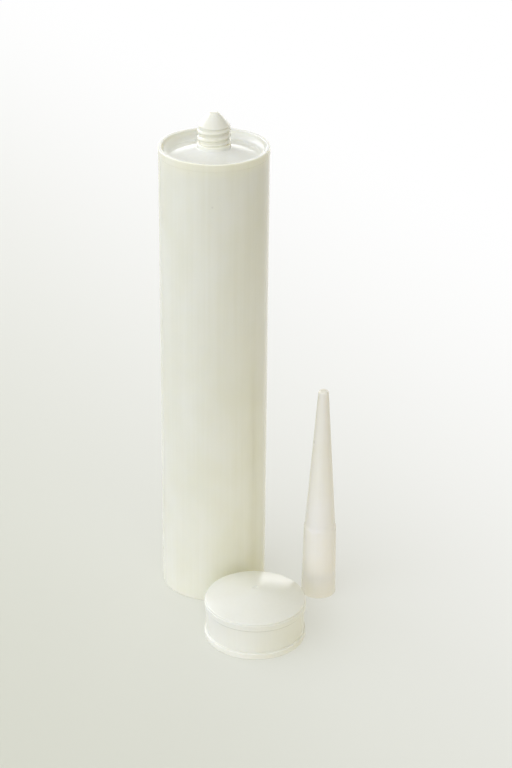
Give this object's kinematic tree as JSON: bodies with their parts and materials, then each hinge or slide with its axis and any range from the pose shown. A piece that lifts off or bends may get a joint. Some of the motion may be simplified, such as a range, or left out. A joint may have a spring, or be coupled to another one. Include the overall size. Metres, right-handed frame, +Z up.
{
  "type": "caulk cartridge",
  "caption": "Empty plastic sealant cartridge: open-ended barrel with a threaded neck and closed tip, its screw-on tapered nozzle and its lipped plunger standing beside it.",
  "frame": {"origin": "centre of the barrel's open end, on the surface that the set stands on", "axes": "+Z up along the barrel's axis, from its open end to its neck; +X to the nozzle's side; -Y to the plunger's side"},
  "size_m": [0.0838, 0.1007, 0.2381],
  "materials": {
    "barrel_polyethylene": "satin, slightly translucent ivory white",
    "nozzle_polyethylene": "satin, translucent ivory white",
    "plunger_polyethylene": "satin, slightly translucent ivory white"
  },
  "bodies": {
    "root": {"barrel": "barrel_polyethylene", "nozzle": "nozzle_polyethylene", "plunger": "plunger_polyethylene"}
  },
  "joints": []
}
